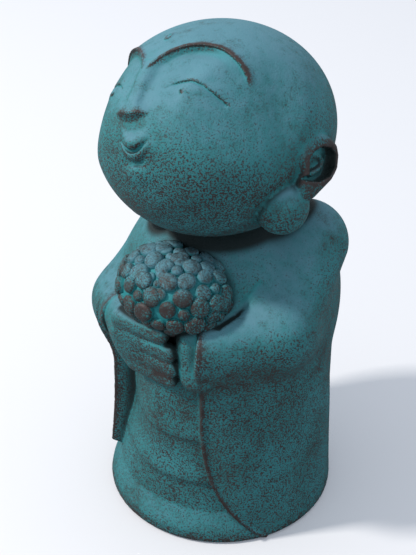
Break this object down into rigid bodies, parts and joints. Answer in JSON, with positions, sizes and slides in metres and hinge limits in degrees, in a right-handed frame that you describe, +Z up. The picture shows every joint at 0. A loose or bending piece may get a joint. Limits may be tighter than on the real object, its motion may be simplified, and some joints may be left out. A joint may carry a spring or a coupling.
{
  "type": "jizo statue",
  "caption": "Small garden statue of a smiling child monk with an upturned head, hands folded round a posy of blossoms, standing on a round foot.",
  "frame": {"origin": "centre of the round flat underside, where the statue stands", "axes": "+Z up, -Y the way the figure faces, +X to the figure's left"},
  "size_m": [0.2043, 0.2045, 0.424],
  "materials": {
    "patinated_stone": "cast stone with a dark brown ground coat and a rubbed teal verdigris patina, matt"
  },
  "bodies": {
    "root": {"statue": "patinated_stone"}
  },
  "joints": []
}
